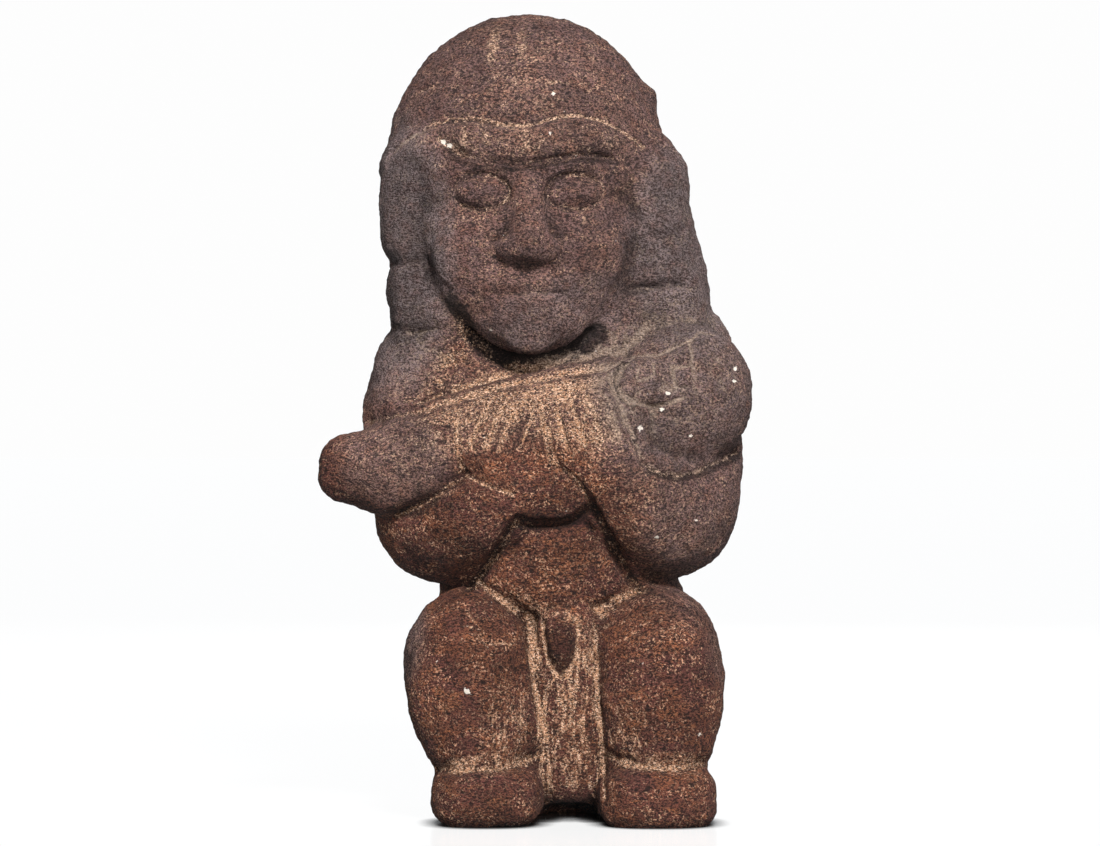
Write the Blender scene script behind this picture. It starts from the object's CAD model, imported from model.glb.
"""The looks of a squatting stone figure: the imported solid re-cut finely, in worn volcanic stone."""

import itertools
import math

import bpy
import numpy as np
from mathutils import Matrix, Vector
from mathutils.bvhtree import BVHTree


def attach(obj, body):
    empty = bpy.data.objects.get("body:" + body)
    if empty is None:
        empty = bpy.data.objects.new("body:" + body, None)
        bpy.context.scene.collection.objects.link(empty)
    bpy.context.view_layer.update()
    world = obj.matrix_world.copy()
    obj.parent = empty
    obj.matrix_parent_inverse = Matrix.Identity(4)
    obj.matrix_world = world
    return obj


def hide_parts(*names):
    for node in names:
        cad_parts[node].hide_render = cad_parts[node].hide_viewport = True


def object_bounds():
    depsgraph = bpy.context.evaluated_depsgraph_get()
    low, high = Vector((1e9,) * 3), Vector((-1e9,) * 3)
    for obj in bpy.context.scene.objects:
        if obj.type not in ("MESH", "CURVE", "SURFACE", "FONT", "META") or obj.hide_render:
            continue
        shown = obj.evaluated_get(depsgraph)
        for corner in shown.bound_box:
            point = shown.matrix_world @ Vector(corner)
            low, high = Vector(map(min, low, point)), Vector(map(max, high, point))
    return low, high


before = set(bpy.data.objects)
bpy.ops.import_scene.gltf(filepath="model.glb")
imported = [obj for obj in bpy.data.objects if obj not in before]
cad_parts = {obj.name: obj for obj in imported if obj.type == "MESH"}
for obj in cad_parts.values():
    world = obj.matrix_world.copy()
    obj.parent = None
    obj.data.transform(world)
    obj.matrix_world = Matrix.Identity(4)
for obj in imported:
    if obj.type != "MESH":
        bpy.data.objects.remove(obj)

CAD_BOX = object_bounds()
HEIGHT = CAD_BOX[1].z - CAD_BOX[0].z
SHARE = HEIGHT / 1000
MM = 0.001

# Where the carving's own origin stands in the frame, in shares of the height
CARVING_ORIGIN = np.array((28.0, 23.0, 0.0))
# Lines are laid on the skin from this plane, looking back
IN_FRONT = -1.0

SKIN_VOXEL = 1.25 * MM
SOFTENING_FACTOR = 0.5
SOFTENING_PASSES = 16
# Facets asked for in front of this plane and behind it
BACK_STARTS = 35 * MM
FRONT_FACETS = 138000
BACK_FACETS = 40000

# Face, on the same textbook proportions as the solid
HEAD_X = -38
CHIN_Z = 572
SKULL_HEIGHT = 398
EYE_WIDTH = 55.2
EYE_APART = EYE_WIDTH * 1.05
EYE_Z = CHIN_Z + 0.5 * SKULL_HEIGHT
LID_HALF_WIDTH = EYE_WIDTH * 0.64
LID_HALF_HEIGHT = 21
NOSE_Z = CHIN_Z + 0.2875 * SKULL_HEIGHT
MOUTH_Z = NOSE_Z - (NOSE_Z - CHIN_Z) / 3
MOUTH_DIP = 1
MOUTH_HALF_WIDTH = EYE_WIDTH * 0.85

# Strokes: half width, depth, how much pale deposit they hold, how far it spreads, and points of x and z
STROKES = [
    (4.5, 2.4, 1.0, 3.8, [
        (-208, 822), (-161, 854), (-113, 862), (-71, 855), (-35, 853),
        (4, 864), (43, 862), (82, 844), (103, 828),
    ]),
    (5, 3.4, 0.25, 4, [(-146, 835), (-122, 817), (-91, 809), (-42, 806), (0, 813), (33, 817), (64, 813)]),
    (4, 2.0, 0.5, 4, [(-178, 896), (-160, 903), (-133, 906)]),
    (6, 3.0, 0.4, 5, [(88, 653), (116, 656), (146, 659), (168, 652)]),
    (5, 2.0, 0.1, 5, [(94, 757), (105, 737), (123, 719), (142, 719), (158, 733)]),
    (5, 1.6, 0.2, 5, [(-216, 690), (-192, 684), (-166, 690)]),
    (5, 2.0, 0.4, 5, [(-206, 606), (-180, 600), (-152, 606)]),
    (6, 2.0, 0.6, 6, [(-239, 490), (-180, 502), (-121, 520), (-60, 538), (0, 549), (60, 556)]),
    (5, 3.0, 0.5, 5, [(-200, 376), (-172, 388), (-148, 403), (-116, 427)]),
    (4.5, 2.6, 0.8, 5, [(-116, 427), (-91, 415), (-56, 403)]),
    (4, 2.4, 0.1, 4, [(-112, 430), (-102, 422), (-88, 420)]),
    (4.5, 2.6, 0.8, 4, [(-22, 506), (-14, 452), (-5, 437)]),
    (5, 3.0, 0.8, 4, [(-14, 483), (-5, 444), (18, 421), (37, 393)]),
    (6, 3.6, 0.3, 6, [(37, 393), (63, 341), (82, 308), (96, 286)]),
    (6, 3.6, 0.5, 6, [(-51, 371), (-73, 335), (-95, 305), (-113, 286)]),
    (5, 4.0, 0.0, 5, [(-51, 368), (-36, 366), (-6, 366), (18, 372), (37, 386)]),
    (5, 3.0, 1.0, 4, [(60, 545), (67, 526), (85, 483), (102, 441)]),
    (5, 3.0, 0.7, 5, [(102, 441), (131, 428), (170, 431), (220, 455)]),
    (5, 3.2, 1.1, 4.5, [(72, 526), (84, 516), (106, 510), (130, 513), (150, 520)]),
    (6, 5.0, 0.1, 4, [(86, 564), (75, 552), (71, 538), (78, 524), (92, 516)]),
    (4.5, 2.2, 0.9, 5, [(60, 556), (84, 568), (104, 572), (118, 572)]),
    (6, 3.0, 0.75, 7, [(-100, 295), (-64, 267), (-34, 249)]),
    (6, 3.0, 0.7, 8, [(103, 286), (74, 275), (43, 261)]),
    (5, 2.6, 0.75, 6.5, [(-36, 244), (-30, 165), (-16, 104), (-12, 34)]),
    (5, 2.6, 0.75, 6.5, [(42, 250), (45, 165), (51, 104), (54, 34)]),
    (5, 2.0, 0.7, 8, [(-156, 68), (-97, 70), (-48, 76), (-18, 88)]),
    (5, 2.0, 0.7, 8, [(50, 88), (85, 76), (134, 71), (186, 76)]),
]
FINGERS = [
    [(-126, 491), (-125, 463), (-120, 430)],
    [(-86, 515), (-98, 490), (-109, 465)],
    [(-69, 508), (-82, 484), (-92, 460)],
    [(-56, 505), (-66, 480), (-75, 455)],
    [(-32, 501), (-40, 480), (-48, 460)],
    [(-5, 506), (2, 484), (8, 462)],
    [(12, 515), (22, 490), (30, 463)],
    [(32, 522), (43, 498), (50, 472)],
    [(56, 524), (66, 498), (73, 474)],
]
ANIMAL_EYE = [
    [(137, 556), (139, 545), (142, 531)],
    [(136, 557), (148, 558), (160, 561)],
    [(157, 592), (161, 575), (163, 553), (163, 533)],
    [(143, 533), (152, 532), (162, 536)],
]
# The animal's muzzle and ear and the rim of the flap's boss, told like STROKES
MUZZLE_EAR_AND_BOSS = [
    (4, 2.4, 0.9, 3.6, [(96, 556), (95, 541), (114, 549), (113, 561)]),
    (4, 2.0, 0.9, 4, [(117, 571), (158, 590), (172, 600), (190, 597)]),
    (5, 3.0, 0.9, 7, [(-22, 248), (-17, 206), (2, 178), (21, 206), (24, 248)]),
]
# Half width, depth, deposit and spread of the strokes that share them
FINGER_CUT = (4, 2.4, 1.0, 3.2)
ANIMAL_EYE_CUT = (4, 2.6, 1.0, 4.2)
LID_CUT = (4.5, 2.6, 0.45, 4)
MOUTH_CUT = (4.5, 2.6, 0.2, 4)
SPAN_STEPS = 14
OVAL_POINTS = 14

# Families of short tool marks:
# middle x and z, half spread across and up, lean in degrees, count and length
TOOL_MARKS = [
    (9, 120, 34, 92, 90, 70, 30),
    (-52, 112, 34, 40, 78, 34, 26),
    (84, 106, 30, 32, 98, 24, 22),
    (-60, 836, 100, 14, 86, 22, 13),
    (-170, 452, 60, 26, 12, 26, 26),
    (-150, 566, 54, 48, 22, 34, 30),
    (156, 612, 60, 34, -8, 22, 30),
    (-80, 236, 40, 18, -20, 14, 26),
    (96, 246, 40, 18, 18, 14, 26),
    (-50, 930, 90, 60, 4, 26, 22),
]
MARK_WIDTH = 3.2
MARK_DEPTH = 1.3
MARK_DEPOSIT = 0.7
MARK_SPREAD = 4
# How much tool marks vary: lean in degrees, half length, bow and strength
MARK_LEAN = 9
MARK_HALF_LENGTH = (0.3, 0.6)
MARK_BOW = (-0.25, 0.25)
MARK_STRENGTH = (0.5, 1.0)

# Stone left standing beside the muzzle: x, z, half sizes, turn in degrees and height
FILLS = [
    (114, 521, 16, 9, 0, 5.0),
    (100, 492, 10, 26, 8, 4.0),
]

# White specks on the front: x, z and half size
SPECKS = [
    (-113, 165, 3.4), (-109, 162, 2.8), (215, 556, 3), (213, 541, 2.6), (132, 526, 3), (124, 506, 2.8),
    (98, 483, 3.2), (159, 475, 2.2), (170, 111, 2.4), (-8, 892, 2.4), (-142, 833, 3.2), (-135, 829, 3),
    (166, 371, 2.2), (118, 350, 2.6), (-34, 841, 2.0), (-22, 838, 2.0), (-12, 842, 1.8), (47, 849, 1.8),
]

# The sole's edge is worn round below this height, by this much
SOLE_HEIGHT = 7 * MM
SOLE_WEAR = 2.5 * MM

# Lumps of the worn surface: height and size in millimetres, and seed
LUMPS = [(1.0, 45, 1), (0.7, 20, 2), (0.5, 9, 3), (0.5, 5, 4), (0.4, 3.2, 5)]
# How far strokes and their deposit wander to and fro, with the size of the bends and a seed for each axis
WANDER = 0.5 * MM
CUT_BENDS = (9 * MM, (21, 22, 23))
DEPOSIT_BENDS = (6 * MM, (31, 32, 33))
# Lattice noise: rows in its table, the factors that pick one, the shift between seeds and the gain
TABLE_ROWS = 4096
PICKERS = (73856093, 19349663, 83492791)
SEED_SHIFT = 17.31
GRAIN_GAIN = 1.7

# Pale powder on the front: x, z, half sizes, turn in degrees and amount
DUST = [
    (9, 140, 38, 112, 0, 0.5),
    (-31, 214, 9, 42, 0, 0.8),
    (33, 214, 9, 42, 0, 0.7),
    (4, 252, 30, 8, 0, 0.7),
    (-30, 262, 66, 14, -32, 0.5),
    (70, 268, 50, 14, 20, 0.45),
    (-95, 76, 64, 14, 2, 0.6),
    (120, 80, 70, 14, -2, 0.6),
    (-40, 528, 150, 36, 15, 0.86),
    (-110, 482, 80, 34, 12, 0.62),
    (-200, 446, 60, 44, 5, 0.36),
    (26, 500, 76, 50, 0, 0.78),
    (98, 580, 66, 40, 10, 0.6),
    (88, 514, 24, 30, 0, 0.6),
    (150, 550, 84, 84, 0, 0.52),
    (150, 615, 66, 44, 0, 0.45),
    (-60, 835, 110, 24, 0, 0.46),
    (-150, 566, 70, 66, 10, 0.42),
    (-70, 118, 34, 50, 0, 0.36),
    (78, 118, 22, 46, 0, 0.34),
    (-60, 910, 34, 60, -12, 0.4),
    (-82, 955, 8, 30, -10, 0.75),
    (-47, 955, 8, 24, 0, 0.65),
    (-20, 880, 14, 20, 30, 0.6),
    (-117, 838, 6, 16, 0, 0.85),
    (-90, 838, 6, 16, 0, 0.75),
    (-43, 835, 7, 18, 0, 0.8),
    (60, 838, 14, 12, 0, 0.7),
    (130, 370, 80, 60, 0, 0.36),
    (-130, 360, 70, 50, 0, 0.2),
]
# Grey weathering, in the same way
HAZE = [
    (-30, 880, 280, 320, 0, 0.34),
    (150, 560, 120, 150, 0, 0.62),
    (165, 700, 90, 150, 0, 0.9),
    (-215, 700, 90, 180, 0, 0.95),
    (40, 620, 150, 60, 10, 0.6),
    (190, 380, 90, 130, 0, 0.4),
    (-30, 530, 220, 60, 12, 0.2),
    (-200, 450, 70, 60, 0, 0.4),
    (-195, 240, 30, 60, 0, 0.5),
    (205, 240, 26, 70, 0, 0.3),
]
# Warmer, rustier stone, in the same way
WARMTH = [
    (-91, 193, 26, 40, 20, 0.7),
    (-161, 162, 34, 44, 0, 0.7),
    (-64, 116, 40, 46, 0, 0.7),
    (122, 232, 46, 40, 0, 0.7),
    (70, 130, 34, 60, 0, 0.8),
    (0, 300, 90, 50, 0, 0.6),
    (10, 440, 110, 50, 10, 0.7),
    (110, 380, 60, 70, -20, 0.5),
    (-110, 35, 60, 30, 0, 0.4),
    (-70, 900, 30, 70, -12, 0.9),
    (10, 880, 60, 30, 0, 0.8),
    (-20, 838, 90, 16, 0, 1.0),
]
# Chiselled ground, in the same way
CHISELLED = [
    (9, 130, 40, 122, 0, 1.0),
    (-60, 112, 44, 52, 0, 0.7),
    (84, 108, 30, 40, 0, 0.5),
]
# The boss of the flap keeps its dark skin: middle x and z, half sizes and turn, and how dark it is
DARK_BOSS = (0, 217, 21, 34, 0)
BOSS_FOLD = 0.6
# Dark folds: spread, amount, and points of x and z
FOLDS = [
    (20, 1.0, [(-130, 634), (-108, 604), (-84, 580), (-40, 561), (6, 571), (44, 600)]),
    (7, 0.8, [(-51, 366), (-36, 363), (-6, 363), (18, 369), (37, 383)]),
    (7, 0.8, [(40, 388), (66, 338), (85, 305), (99, 283)]),
    (8, 0.7, [(-54, 366), (-76, 331), (-98, 301), (-116, 282)]),
    (8, 0.8, [(110, 432), (135, 423), (172, 427), (222, 450)]),
    (6, 0.7, [(-140, 828), (-120, 810), (-91, 802), (-42, 799), (0, 806), (33, 810), (60, 806)]),
    (9, 0.7, [(-206, 384), (-176, 380), (-150, 394)]),
    (8, 0.5, [(-150, 262), (-128, 276), (-104, 290)]),
    (8, 0.5, [(108, 284), (136, 272), (160, 258)]),
    (46, 0.5, [(-196, 615), (-200, 700), (-190, 785)]),
    (30, 0.3, [(152, 690), (146, 730), (130, 790)]),
    (8, 0.9, [(82, 562), (71, 550), (67, 537), (74, 523), (90, 514)]),
]
# A fold is full dark until near its edge
FOLD_FULLNESS = 1.6

# Soft-edged ovals fade out at this many half sizes, over this many
OVAL_REACH = 1.35
OVAL_FADE = 0.7
# How front-facing stone is: at the silhouette, and the gain towards the front
FRONT_START = 0.15
FRONT_GAIN = 1.3
# Hollowness, near and wide: passes of smoothing and the depth that counts as full
CAVITY = (12, 0.35 * MM)
VALLEY = (90, 2.2 * MM)
SMOOTHING = 0.6

# Noises of the stone: size of the lumps in metres, detail, roughness, distortion, stretch and seed
NOISES = {
    "grit": (0.0014, 4, 0.72, 0.2, (0.75, 1.0, 1.25), 0.0),
    "speck": (0.0010, 3, 0.65, 0.2, (0.8, 1.0, 1.2), 3.0),
    "mottle": (0.026, 4, 0.6, 0.0, None, 5.0),
    "blotch": (0.040, 4, 0.6, 0.0, None, 27.0),
    "streak": (0.0070, 3, 0.6, 0.4, (0.55, 1.0, 1.5), 7.0),
    "film": (0.0080, 4, 0.6, 0.0, None, 9.0),
    "clusters": (0.011, 3, 0.6, 0.5, (0.55, 1.0, 1.4), 11.0),
    "flecks": (0.0014, 3, 0.6, 0.2, None, 13.0),
    "holes": (0.0024, 2, 0.5, 0.3, (0.7, 1.0, 1.3), 33.0),
    "uneven": (0.010, 3, 0.6, 0.0, None, 29.0),
    "fine": (0.0013, 3, 0.7, 0.3, None, 15.0),
    "broken": (0.0060, 3, 0.7, 0.3, None, 25.0),
    "combing": (0.0026, 3, 0.6, 0.2, (1.0, 1.0, 0.14), 19.0),
    "crumbs": (0.0042, 3, 0.7, 0.0, None, 17.0),
}
BUMP_DISTANCE = 0.0052

# Colours of the stone
BLACK = (0.010, 0.006, 0.006, 1)
DARK = (0.036, 0.016, 0.012, 1)
PLUM = (0.139, 0.048, 0.038, 1)
BROWN = (0.190, 0.066, 0.034, 1)
RUST = (0.330, 0.125, 0.055, 1)
FLECK = (0.620, 0.360, 0.225, 1)
WHITE = (0.86, 0.80, 0.72, 1)
TAN = (0.580, 0.310, 0.172, 1)
ASH = (0.310, 0.243, 0.200, 1)
PALE = (0.960, 0.700, 0.510, 1)
EARTH = (0.055, 0.022, 0.013, 1)
GREY = (0.310, 0.245, 0.245, 1)
VEIL = (0.100, 0.080, 0.081, 1)

# Lights: name, place, the height they point at, size, power, colour and whether the floor mirrors them
LIGHTS = [
    ("key", (0.30, -1.9, 1.45), 0.34, 0.35, 110, (1.0, 0.97, 0.95), True),
    ("fill", (0.40, -2.7, 0.50), 0.26, 0.7, 54, (1.0, 0.95, 0.92), True),
    ("left edge", (-2.2, 0.5, 1.1), 0.27, 0.6, 18, (1, 1, 1), False),
    ("right edge", (2.2, 0.5, 1.1), 0.27, 0.6, 20, (1, 1, 1), False),
    ("behind", (0.3, 2.6, 1.1), 0.27, 1.0, 40, (1, 1, 1), False),
]
BACKDROP = (0.985, 0.985, 0.985, 1)
SKY_LIGHT = (0.94, 0.97, 1.0, 1)
SKY_STRENGTH = 0.22
HORIZON = 0.02
FLOOR_SIZE = 60
FLOOR_COLOUR = (0.05, 0.05, 0.05, 1)
FLOOR_ROUGHNESS = 0.2
FLOOR_GLOW = 0.86
# The floor darkens where the stone meets it: how near, and the openness that is dark and light
CONTACT_REACH = 0.016
CONTACT_OPENNESS = (0.35, 0.85)
CAMERA_PLACE = (0.008, -2.9885, 0.2447)
LENS = 157.3
SENSOR_WIDTH = 36


def smooth_path(points):
    """A Catmull-Rom curve through points of x and z."""
    known = np.array([points[0], *points, points[-1]], float)
    steps = np.linspace(0.0, 1.0, SPAN_STEPS, endpoint=False)[:, None]
    spans = []
    for before, start, end, after in zip(known, known[1:], known[2:], known[3:]):
        spans.append(
            start
            + 0.5 * steps * (end - before)
            + steps**2 * (before - 2.5 * start + 2 * end - 0.5 * after)
            + 0.5 * steps**3 * (3 * start - before - 3 * end + after)
        )
    return np.concatenate([*spans, known[-1:]])


def oval(centre_x, centre_z, half_width, half_height):
    """Points round an oval."""
    angles = np.linspace(0.0, 2 * math.pi, OVAL_POINTS)
    across = centre_x + half_width * np.cos(angles)
    up = centre_z + half_height * np.sin(angles)
    return np.stack([across, up], axis=1)


TABLE = np.random.default_rng(7).normal(size=(TABLE_ROWS, 3))
TABLE /= np.linalg.norm(TABLE, axis=1)[:, None]


def grain(places, size, seed):
    """Smooth noise from about -1 to 1, with lumps of the size given."""
    scaled = places / size + seed * SEED_SHIFT
    cell = np.floor(scaled).astype(np.int64)
    inside = scaled - cell
    fade = inside**3 * (inside * (inside * 6 - 15) + 10)
    total = np.zeros(len(places))
    for corner in itertools.product((0, 1), repeat=3):
        x, y, z = (cell + corner).T
        pick = (x * PICKERS[0] ^ y * PICKERS[1] ^ z * PICKERS[2]) % len(TABLE)
        slope = ((inside - corner) * TABLE[pick]).sum(axis=1)
        total += slope * np.where(corner, fade, 1 - fade).prod(axis=1)
    return total * GRAIN_GAIN


def wandered(places, size, seeds):
    """The places moved a little to and fro, so that lines don't run evenly."""
    return places + np.stack([grain(places, size, seed) for seed in seeds], axis=1) * WANDER


def mesh_arrays(mesh):
    """Vertex places and normals of a mesh."""
    count = len(mesh.vertices)
    places = np.zeros(count * 3)
    mesh.vertices.foreach_get("co", places)
    normals = np.zeros(count * 3)
    mesh.vertex_normals.foreach_get("vector", normals)
    return places.reshape(count, 3), normals.reshape(count, 3)


def evaluated_copy(thing, name):
    """The mesh that an object's modifiers give."""
    depsgraph = bpy.context.evaluated_depsgraph_get()
    mesh = bpy.data.meshes.new_from_object(thing.evaluated_get(depsgraph))
    mesh.name = name
    return mesh


def fine_skin():
    """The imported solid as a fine, softened skin."""
    rough = bpy.data.objects.new("rough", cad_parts["figure"].data.copy())
    bpy.context.scene.collection.objects.link(rough)
    fuse = rough.modifiers.new("fuse", "REMESH")
    fuse.mode = "VOXEL"
    fuse.voxel_size = SKIN_VOXEL
    soften = rough.modifiers.new("soften", "SMOOTH")
    soften.factor = SOFTENING_FACTOR
    soften.iterations = SOFTENING_PASSES
    skin = evaluated_copy(rough, "skin")
    bpy.data.objects.remove(rough, do_unlink=True)
    return skin


def main_strokes():
    """Every main stroke as half width, depth, deposit, its spread and the curve."""
    eyes = (HEAD_X - EYE_APART, HEAD_X + EYE_APART)
    lids = [oval(eye_x, EYE_Z, LID_HALF_WIDTH, LID_HALF_HEIGHT) for eye_x in eyes]
    mouth = [
        (HEAD_X - MOUTH_HALF_WIDTH, MOUTH_Z),
        (HEAD_X, MOUTH_Z - MOUTH_DIP),
        (HEAD_X + MOUTH_HALF_WIDTH, MOUTH_Z),
    ]
    strokes = [
        *STROKES,
        *((*FINGER_CUT, points) for points in FINGERS),
        *((*ANIMAL_EYE_CUT, points) for points in ANIMAL_EYE),
        *MUZZLE_EAR_AND_BOSS,
        *((*LID_CUT, points) for points in lids),
        (*MOUTH_CUT, mouth),
    ]
    for *cut, points in strokes:
        yield *cut, smooth_path(points)


def tool_marks():
    """Every short tool mark, told in the same way."""
    chance = np.random.default_rng(11)
    for x, z, across, up, lean, count, length in TOOL_MARKS:
        for _ in range(count):
            middle = np.array((x, z)) + chance.uniform(-1, 1, 2) * (across, up)
            angle = math.radians(lean + chance.normal() * MARK_LEAN)
            half = np.array((math.cos(angle), math.sin(angle))) * length * chance.uniform(*MARK_HALF_LENGTH)
            bow = np.array((-half[1], half[0])) * chance.uniform(*MARK_BOW)
            strength = chance.uniform(*MARK_STRENGTH)
            curve = smooth_path([middle - half, middle + bow, middle + half])
            yield MARK_WIDTH, MARK_DEPTH * strength, MARK_DEPOSIT * strength, MARK_SPREAD, curve


def fold_lines():
    """Every dark fold, told in the same way."""
    for spread, amount, points in FOLDS:
        yield 0, 0, amount, spread, smooth_path(points)


def lines_on(surface, strokes):
    """The strokes laid on the front of the skin, as points in the frame."""
    ahead = Vector((0, 1, 0))
    laid = []
    for half_width, depth, deposit, spread, curve in strokes:
        starts = [((x + CARVING_ORIGIN[0]) * SHARE, IN_FRONT, z * SHARE) for x, z in curve]
        hits = [surface.ray_cast(Vector(start), ahead)[0] for start in starts]
        line = np.array([hit for hit in hits if hit is not None])
        if len(line):
            laid.append((half_width * SHARE, depth * SHARE, deposit, spread * SHARE, line))
    return laid


def in_box_round(places, line, reach):
    """Which places lie in the line's box, widened by reach."""
    inside = (places > line.min(0) - reach) & (places < line.max(0) + reach)
    return np.flatnonzero(inside.all(axis=1))


def nearness(places, line, reach):
    """Which places lie within reach of the line, and how far off they are as a share of reach."""
    near = in_box_round(places, line, reach)
    away = np.linalg.norm(places[near, None, :] - line[None, :, :], axis=2).min(axis=1) / reach
    return near[away < 1], away[away < 1]


def lines_beside(places, normals, laid):
    """How far each place is to one side (+) or the other (-) of the nearest line, and its deposit."""
    side = np.full(len(places), 2.0)
    held = np.zeros(len(places))
    for _, _, deposit, spread, line in laid:
        near = in_box_round(places, line, 2 * spread)
        gaps = places[near, None, :] - line[None, :, :]
        nearest = np.linalg.norm(gaps, axis=2).argmin(axis=1)
        gaps = gaps[np.arange(len(near)), nearest]
        away = np.linalg.norm(gaps, axis=1) / spread
        course = np.gradient(line, axis=0)
        course /= np.linalg.norm(course, axis=1)[:, None]
        along = (gaps * course[nearest]).sum(axis=1) / spread
        beyond = np.where(nearest == 0, -along, np.where(nearest == len(line) - 1, along, 0))
        turned = np.sign((gaps * np.cross(normals[near], course[nearest])).sum(axis=1))
        closer = away < np.abs(side[near])
        side[near[closer]] = (away * turned)[closer]
        held[near[closer]] = (deposit * np.clip(1 - beyond, 0, 1))[closer]
    return side, held


def patch(at, x, z, half_x, half_z, turn):
    """How much each place lies in a soft-edged oval, seen from the front."""
    angle = math.radians(turn)
    across = (at[:, 0] - x) * math.cos(angle) + (at[:, 2] - z) * math.sin(angle)
    up = (at[:, 2] - z) * math.cos(angle) - (at[:, 0] - x) * math.sin(angle)
    away = np.sqrt((across / half_x) ** 2 + (up / half_z) ** 2)
    level = np.clip((OVAL_REACH - away) / OVAL_FADE, 0, 1)
    return level**2 * (3 - 2 * level)


def strongest(at, ovals, where=1.0):
    """The strongest of the soft-edged ovals at each place, with where as a factor."""
    total = np.zeros(len(at))
    for *oval_shape, amount in ovals:
        total = np.maximum(total, amount * patch(at, *oval_shape) * where)
    return total


def hollows(mesh, places, normals, passes, depth):
    """How hollow (1) or proud (-1) each place is against its surroundings."""
    pairs = np.zeros(len(mesh.edges) * 2, np.int64)
    mesh.edges.foreach_get("vertices", pairs)
    starts, ends = pairs.reshape(-1, 2).T
    total = len(places)
    count = np.bincount(starts, minlength=total) + np.bincount(ends, minlength=total)
    soft = places.copy()
    for _ in range(passes):
        for axis in range(3):
            values = soft[:, axis]
            around = np.bincount(starts, values[ends], total) + np.bincount(ends, values[starts], total)
            soft[:, axis] = (1 - SMOOTHING) * values + SMOOTHING * around / count
    return np.clip(((soft - places) * normals).sum(axis=1) / depth, -1, 1)


def thin(stone, chosen, limit):
    """Thins the chosen faces to about the number of facets given."""
    corners = np.zeros(len(stone.data.polygons), np.int64)
    stone.data.polygons.foreach_get("loop_total", corners)
    bpy.context.view_layer.objects.active = stone
    bpy.ops.object.mode_set(mode="EDIT")
    bpy.ops.mesh.select_mode(type="FACE")
    bpy.ops.mesh.select_all(action="DESELECT")
    bpy.ops.object.mode_set(mode="OBJECT")
    stone.data.polygons.foreach_set("select", chosen)
    bpy.ops.object.mode_set(mode="EDIT")
    bpy.ops.mesh.decimate(ratio=limit / (corners[chosen] - 2).sum())
    bpy.ops.object.mode_set(mode="OBJECT")


def faces_behind(mesh):
    """Which faces lie behind the plane where the back starts."""
    middles = np.zeros(len(mesh.polygons) * 3)
    mesh.polygons.foreach_get("center", middles)
    return middles.reshape(-1, 3)[:, 1] > BACK_STARTS


def carve(skin, places, normals, lines):
    """Cuts the lines into the skin, leaves it lumpy and worn, and wears the edge of the sole."""
    moved = wandered(places, *CUT_BENDS)
    cut = np.zeros(len(places))
    for reach, depth, _, _, line in lines:
        near, away = nearness(moved, line, reach)
        cut[near] = np.maximum(cut[near], (1 - away**2) ** 2 * depth)
    rise = sum(height * grain(places, size * MM, seed) for height, size, seed in LUMPS) * MM
    at = places / SHARE - CARVING_ORIGIN
    for *oval_shape, height in FILLS:
        rise += patch(at, *oval_shape) * (normals[:, 1] < 0) * height * SHARE
    places += normals * (rise - cut)[:, None]
    worn = np.clip(1 - places[:, 2] / SOLE_HEIGHT, 0, 1) ** 2 * SOLE_WEAR
    places[:, :2] -= normals[:, :2] * worn[:, None]
    places[:, 2] = np.maximum(places[:, 2], 0.0)
    skin.vertices.foreach_set("co", places.ravel())
    skin.update()


def store_layers(mesh, surface, lines, marks):
    """Stores what the material reads at each vertex: deposits, weathering, folds, hollows and specks."""
    places, normals = mesh_arrays(mesh)
    moved = wandered(places, *DEPOSIT_BENDS)
    at = places / SHARE - CARVING_ORIGIN
    front = np.clip(FRONT_START - FRONT_GAIN * normals[:, 1], 0, 1)
    bare = 1 - patch(at, *DARK_BOSS)
    side, held = lines_beside(moved, normals, lines)
    trace = np.zeros(len(places))
    for _, _, deposit, spread, line in marks:
        near, away = nearness(moved, line, spread)
        trace[near] = np.maximum(trace[near], (1 - away**2) * deposit)
    folds = BOSS_FOLD * (1 - bare)
    for _, _, amount, spread, line in lines_on(surface, fold_lines()):
        near, away = nearness(moved, line, spread)
        folds[near] = np.maximum(folds[near], np.minimum(FOLD_FULLNESS * (1 - away**2), 1) * amount)
    specks = [(x, z, size, size, 0, 1.0) for x, z, size in SPECKS]
    for name, values in (
        ("side", side),
        ("held", held),
        ("marks", trace),
        ("dust", strongest(at, DUST, front) * bare),
        ("haze", strongest(at, HAZE)),
        ("warmth", strongest(at, WARMTH, front)),
        ("folds", folds),
        ("cavity", hollows(mesh, places, normals, *CAVITY)),
        ("valley", hollows(mesh, places, normals, *VALLEY)),
        ("chisel", strongest(at, CHISELLED, front) * bare),
        ("white", strongest(at, specks, normals[:, 1] < 0)),
    ):
        layer = mesh.attributes.new(name, "FLOAT", "POINT")
        layer.data.foreach_set("value", values.astype(np.float32))


def stone_figure():
    """The carved stone, in one piece."""
    skin = fine_skin()
    places, normals = mesh_arrays(skin)
    surface = BVHTree.FromPolygons(places.tolist(), [face.vertices[:] for face in skin.polygons])
    lines = lines_on(surface, main_strokes())
    marks = lines_on(surface, tool_marks())
    carve(skin, places, normals, (*lines, *marks))
    skin.name = "stone_figure"
    stone = bpy.data.objects.new("stone_figure", skin)
    bpy.context.scene.collection.objects.link(stone)
    thin(stone, faces_behind(stone.data), BACK_FACETS)
    thin(stone, ~faces_behind(stone.data), FRONT_FACETS)
    stone.data.shade_smooth()
    store_layers(stone.data, surface, lines, marks)
    stone.data.materials.clear()
    stone.data.materials.append(stone_material())
    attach(stone, "root")
    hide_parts("figure")


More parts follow.
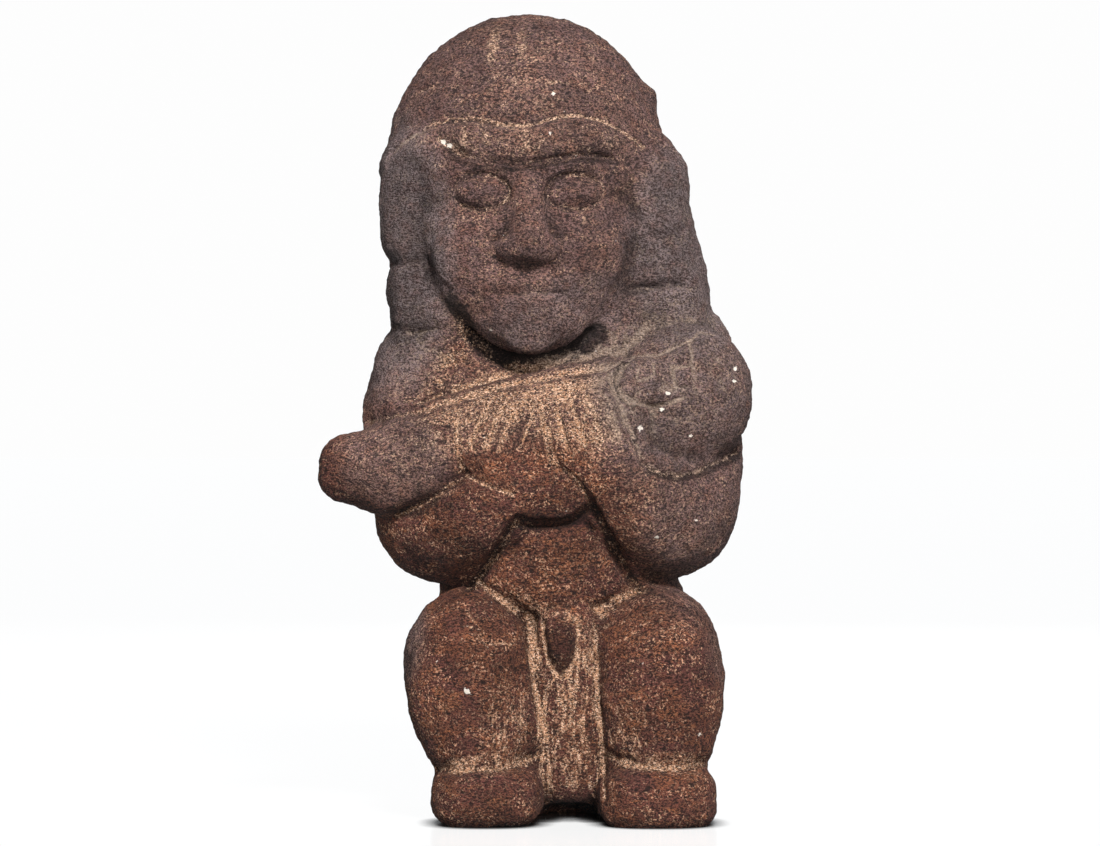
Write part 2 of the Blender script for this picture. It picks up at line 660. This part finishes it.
class Nodes:
    """Short ways to lay shader nodes that read the object's own coordinates."""

    def __init__(self, material):
        self.tree = material.node_tree
        self.where = self.tree.nodes.new("ShaderNodeTexCoord").outputs["Object"]

    def link(self, value, socket):
        """Links a socket, or sets a plain value."""
        if isinstance(value, bpy.types.NodeSocket):
            self.tree.links.new(value, socket)
        else:
            socket.default_value = value

    def noise(self, name):
        """One of the NOISES, from 0 to 1."""
        size, detail, roughness, distortion, stretch, seed = NOISES[name]
        node = self.tree.nodes.new("ShaderNodeTexNoise")
        node.noise_dimensions = "4D"
        node.inputs["W"].default_value = seed
        node.inputs["Scale"].default_value = 1 / size
        node.inputs["Detail"].default_value = detail
        node.inputs["Roughness"].default_value = roughness
        node.inputs["Distortion"].default_value = distortion
        self.link(self.stretched(stretch) if stretch else self.where, node.inputs["Vector"])
        return node.outputs["Fac"]

    def stretched(self, factors):
        """The object's own coordinates, scaled along each axis."""
        node = self.tree.nodes.new("ShaderNodeMapping")
        node.inputs["Scale"].default_value = factors
        self.link(self.where, node.inputs["Vector"])
        return node.outputs["Vector"]

    def step(self, source, low, high, bottom=0.0, top=1.0):
        """A smooth step between low and high."""
        node = self.tree.nodes.new("ShaderNodeMapRange")
        node.interpolation_type = "SMOOTHSTEP"
        self.link(source, node.inputs["Value"])
        self.link(low, node.inputs["From Min"])
        self.link(high, node.inputs["From Max"])
        self.link(bottom, node.inputs["To Min"])
        self.link(top, node.inputs["To Max"])
        return node.outputs["Result"]

    def math(self, operation, first, second=0.0, clamp=False):
        """One sum on two values."""
        node = self.tree.nodes.new("ShaderNodeMath")
        node.operation = operation
        node.use_clamp = clamp
        self.link(first, node.inputs[0])
        self.link(second, node.inputs[1])
        return node.outputs["Value"]

    def plus(self, first, second):
        return self.math("ADD", first, second)

    def times(self, first, second):
        return self.math("MULTIPLY", first, second)

    def less(self, first, second):
        return self.math("SUBTRACT", first, second)

    def larger(self, first, second):
        return self.math("MAXIMUM", first, second)

    def mix(self, factor, first, second, blend="MIX"):
        """The first colour turning into the second as the factor goes from 0 to 1."""
        node = self.tree.nodes.new("ShaderNodeMix")
        node.data_type = "RGBA"
        node.blend_type = blend
        self.link(factor, node.inputs[0])
        self.link(first, node.inputs[6])
        self.link(second, node.inputs[7])
        return node.outputs[2]

    def layer(self, name):
        """A value stored at the vertices."""
        node = self.tree.nodes.new("ShaderNodeAttribute")
        node.attribute_name = name
        return node.outputs["Fac"]


def bare_stone(nodes, grit, speck, haze):
    """Colour of the stone itself: plum and brown, with rust, a grey film, dark grit, flecks and pits."""
    warmth = nodes.layer("warmth")
    body = nodes.mix(nodes.step(nodes.noise("mottle"), 0.38, 0.64), PLUM, BROWN)
    patches = nodes.plus(nodes.noise("streak"), nodes.times(warmth, 0.07))
    rusty = nodes.times(nodes.step(patches, 0.50, 0.66), nodes.step(speck, 0.42, 0.58))
    body = nodes.mix(rusty, body, RUST)
    film = nodes.times(haze, nodes.step(nodes.noise("film"), 0.30, 0.60, 0.5, 1.0))
    body = nodes.mix(film, body, GREY)
    colour = nodes.mix(nodes.step(grit, 0.43, 0.55), DARK, body)
    clusters = nodes.step(nodes.noise("clusters"), 0.45, 0.64, 0.05, 1)
    sprinkled = nodes.larger(nodes.layer("dust"), nodes.times(warmth, 0.35))
    clusters = nodes.math("ADD", clusters, sprinkled, True)
    flecks = nodes.times(clusters, nodes.step(nodes.noise("flecks"), 0.54, 0.60))
    colour = nodes.mix(flecks, colour, nodes.mix(haze, FLECK, ASH))
    holes = nodes.step(nodes.noise("holes"), 0.43, 0.37, 0, 0.9)
    holes = nodes.times(holes, nodes.step(haze, 0.3, 0.9, 1.0, 0.3))
    pits = nodes.larger(nodes.step(speck, 0.48, 0.41, 0, 0.95), holes)
    colour = nodes.mix(pits, colour, BLACK)
    colour = nodes.mix(nodes.times(film, 0.35), colour, VEIL)
    blotch = nodes.step(nodes.noise("blotch"), 0.34, 0.64, 0.78, 1.22)
    colour = nodes.mix(1.0, colour, blotch, "MULTIPLY")
    deep = nodes.step(nodes.layer("valley"), 0.2, 1.0, 1.0, 0.5)
    deep = nodes.times(deep, nodes.step(nodes.layer("folds"), 0.0, 1.0, 1.0, 0.22))
    return nodes.mix(1.0, colour, deep, "MULTIPLY")


def powdered(nodes, colour, grit, speck, haze, combed):
    """The colour given, under pale powder in the strokes, on dusty places and in combed ground."""
    beside = nodes.math("ABSOLUTE", nodes.layer("side"))
    uneven = nodes.step(nodes.noise("uneven"), 0.34, 0.62, 0.6, 1.1)
    line = nodes.times(nodes.step(beside, 1.3, 0.2), nodes.layer("held"))
    line = nodes.times(line, uneven)
    powder = nodes.larger(nodes.larger(line, nodes.layer("marks")), nodes.layer("dust"))
    powder = nodes.plus(powder, nodes.times(nodes.layer("cavity"), 0.2))
    smooth = nodes.larger(nodes.step(haze, 0.2, 0.7), nodes.times(line, 0.3))
    fine = nodes.less(nodes.noise("fine"), 0.5)
    fine = nodes.times(fine, nodes.step(smooth, 0.0, 1.0, 2.6, 1.5))
    fine = nodes.times(fine, nodes.step(powder, 0.0, 0.3, 0.55, 1.0))
    broken = nodes.less(nodes.noise("broken"), 0.5)
    powder = nodes.plus(powder, nodes.plus(fine, broken))
    powder = nodes.plus(powder, nodes.times(combed, 3.6))
    powder = nodes.step(powder, 0.42, 0.96, 0, 0.94)
    chalk = nodes.mix(nodes.step(haze, 0.1, 0.6), TAN, ASH)
    gaps = nodes.times(nodes.step(grit, 0.56, 0.46), nodes.step(smooth, 0.0, 1.0, 1.0, 0.6))
    chalk = nodes.mix(gaps, chalk, EARTH)
    grains = nodes.times(nodes.step(speck, 0.52, 0.59), nodes.step(smooth, 0.0, 1.0, 1.0, 0.3))
    chalk = nodes.mix(grains, chalk, PALE)
    return nodes.mix(powder, colour, chalk)


def stone_material():
    """Dull reddish-brown volcanic stone: gritty, flecked, greyer above, pale where it was cut."""
    material = bpy.data.materials.new("volcanic stone")
    material.use_nodes = True
    nodes = Nodes(material)
    shader = nodes.tree.nodes["Principled BSDF"]
    shader.inputs["Roughness"].default_value = 0.9
    shader.inputs["Specular IOR Level"].default_value = 0.2

    grit = nodes.noise("grit")
    speck = nodes.noise("speck")
    haze = nodes.layer("haze")
    combed = nodes.times(nodes.layer("chisel"), nodes.less(nodes.noise("combing"), 0.48))
    colour = bare_stone(nodes, grit, speck, haze)
    colour = powdered(nodes, colour, grit, speck, haze, combed)
    crumbs = nodes.plus(nodes.layer("white"), nodes.times(nodes.less(grit, 0.5), 2.0))
    crumbs = nodes.larger(nodes.step(crumbs, 0.45, 0.65), nodes.step(nodes.noise("crumbs"), 0.72, 0.75))
    nodes.link(nodes.mix(crumbs, colour, WHITE), shader.inputs["Base Color"])

    height = nodes.plus(grit, nodes.times(speck, 0.4))
    height = nodes.plus(height, nodes.times(combed, 0.8))
    bump = nodes.tree.nodes.new("ShaderNodeBump")
    bump.inputs["Strength"].default_value = 1.0
    bump.inputs["Distance"].default_value = BUMP_DISTANCE
    nodes.link(height, bump.inputs["Height"])
    nodes.link(bump.outputs["Normal"], shader.inputs["Normal"])
    return material


def soft_light(name, place, target_height, size, power, colour, mirrored):
    """A round soft light that points at the middle of the figure."""
    lamp = bpy.data.lights.new(name, "AREA")
    lamp.shape = "DISK"
    lamp.size = size
    lamp.energy = power
    lamp.color = colour
    holder = bpy.data.objects.new(name, lamp)
    holder.location = place
    course = Vector((0, 0, target_height)) - Vector(place)
    holder.rotation_euler = course.to_track_quat("-Z", "Y").to_euler()
    holder.visible_glossy = mirrored
    bpy.context.scene.collection.objects.link(holder)


def surroundings():
    """A white backdrop for the eye, and a faint cool light from above."""
    world = bpy.data.worlds.new("studio")
    world.use_nodes = True
    sky = world.node_tree
    seen = sky.nodes["Background"]
    seen.inputs["Color"].default_value = BACKDROP
    lighting = sky.nodes.new("ShaderNodeBackground")
    lighting.inputs["Color"].default_value = SKY_LIGHT
    coordinates = sky.nodes.new("ShaderNodeTexCoord")
    direction = sky.nodes.new("ShaderNodeSeparateXYZ")
    sky.links.new(coordinates.outputs["Generated"], direction.inputs["Vector"])
    overhead = sky.nodes.new("ShaderNodeMapRange")
    overhead.inputs["From Min"].default_value = -HORIZON
    overhead.inputs["From Max"].default_value = HORIZON
    overhead.inputs["To Max"].default_value = SKY_STRENGTH
    sky.links.new(direction.outputs["Z"], overhead.inputs["Value"])
    sky.links.new(overhead.outputs["Result"], lighting.inputs["Strength"])
    rays = sky.nodes.new("ShaderNodeLightPath")
    choice = sky.nodes.new("ShaderNodeMixShader")
    sky.links.new(rays.outputs["Is Camera Ray"], choice.inputs["Fac"])
    sky.links.new(lighting.outputs["Background"], choice.inputs[1])
    sky.links.new(seen.outputs["Background"], choice.inputs[2])
    sky.links.new(choice.outputs["Shader"], sky.nodes["World Output"].inputs["Surface"])
    bpy.context.scene.world = world


def pale_floor():
    """A glowing pale floor that darkens only where the stone meets it."""
    bpy.ops.mesh.primitive_plane_add(size=FLOOR_SIZE, location=(0, 0, 0))
    floor = bpy.context.object
    floor.name = "floor"
    pale = bpy.data.materials.new("pale floor")
    pale.use_nodes = True
    tree = pale.node_tree
    shader = tree.nodes["Principled BSDF"]
    shader.inputs["Base Color"].default_value = FLOOR_COLOUR
    shader.inputs["Roughness"].default_value = FLOOR_ROUGHNESS
    shader.inputs["Emission Color"].default_value = (1, 1, 1, 1)
    contact = tree.nodes.new("ShaderNodeAmbientOcclusion")
    contact.inputs["Distance"].default_value = CONTACT_REACH
    shade = tree.nodes.new("ShaderNodeMapRange")
    shade.inputs["From Min"].default_value = CONTACT_OPENNESS[0]
    shade.inputs["From Max"].default_value = CONTACT_OPENNESS[1]
    shade.inputs["To Max"].default_value = FLOOR_GLOW
    tree.links.new(contact.outputs["AO"], shade.inputs["Value"])
    tree.links.new(shade.outputs["Result"], shader.inputs["Emission Strength"])
    floor.data.materials.append(pale)
    floor.visible_diffuse = False


def studio():
    """Pale floor, white surroundings, soft light and the camera."""
    scene = bpy.context.scene
    scene.view_settings.view_transform = "Standard"
    surroundings()
    pale_floor()
    for light in LIGHTS:
        soft_light(*light)
    camera = bpy.data.cameras.new("camera")
    camera.lens = LENS
    camera.sensor_width = SENSOR_WIDTH
    holder = bpy.data.objects.new("camera", camera)
    holder.location = CAMERA_PLACE
    holder.rotation_euler = (math.pi / 2, 0, 0)
    scene.collection.objects.link(holder)
    scene.camera = holder


stone_figure()
studio()
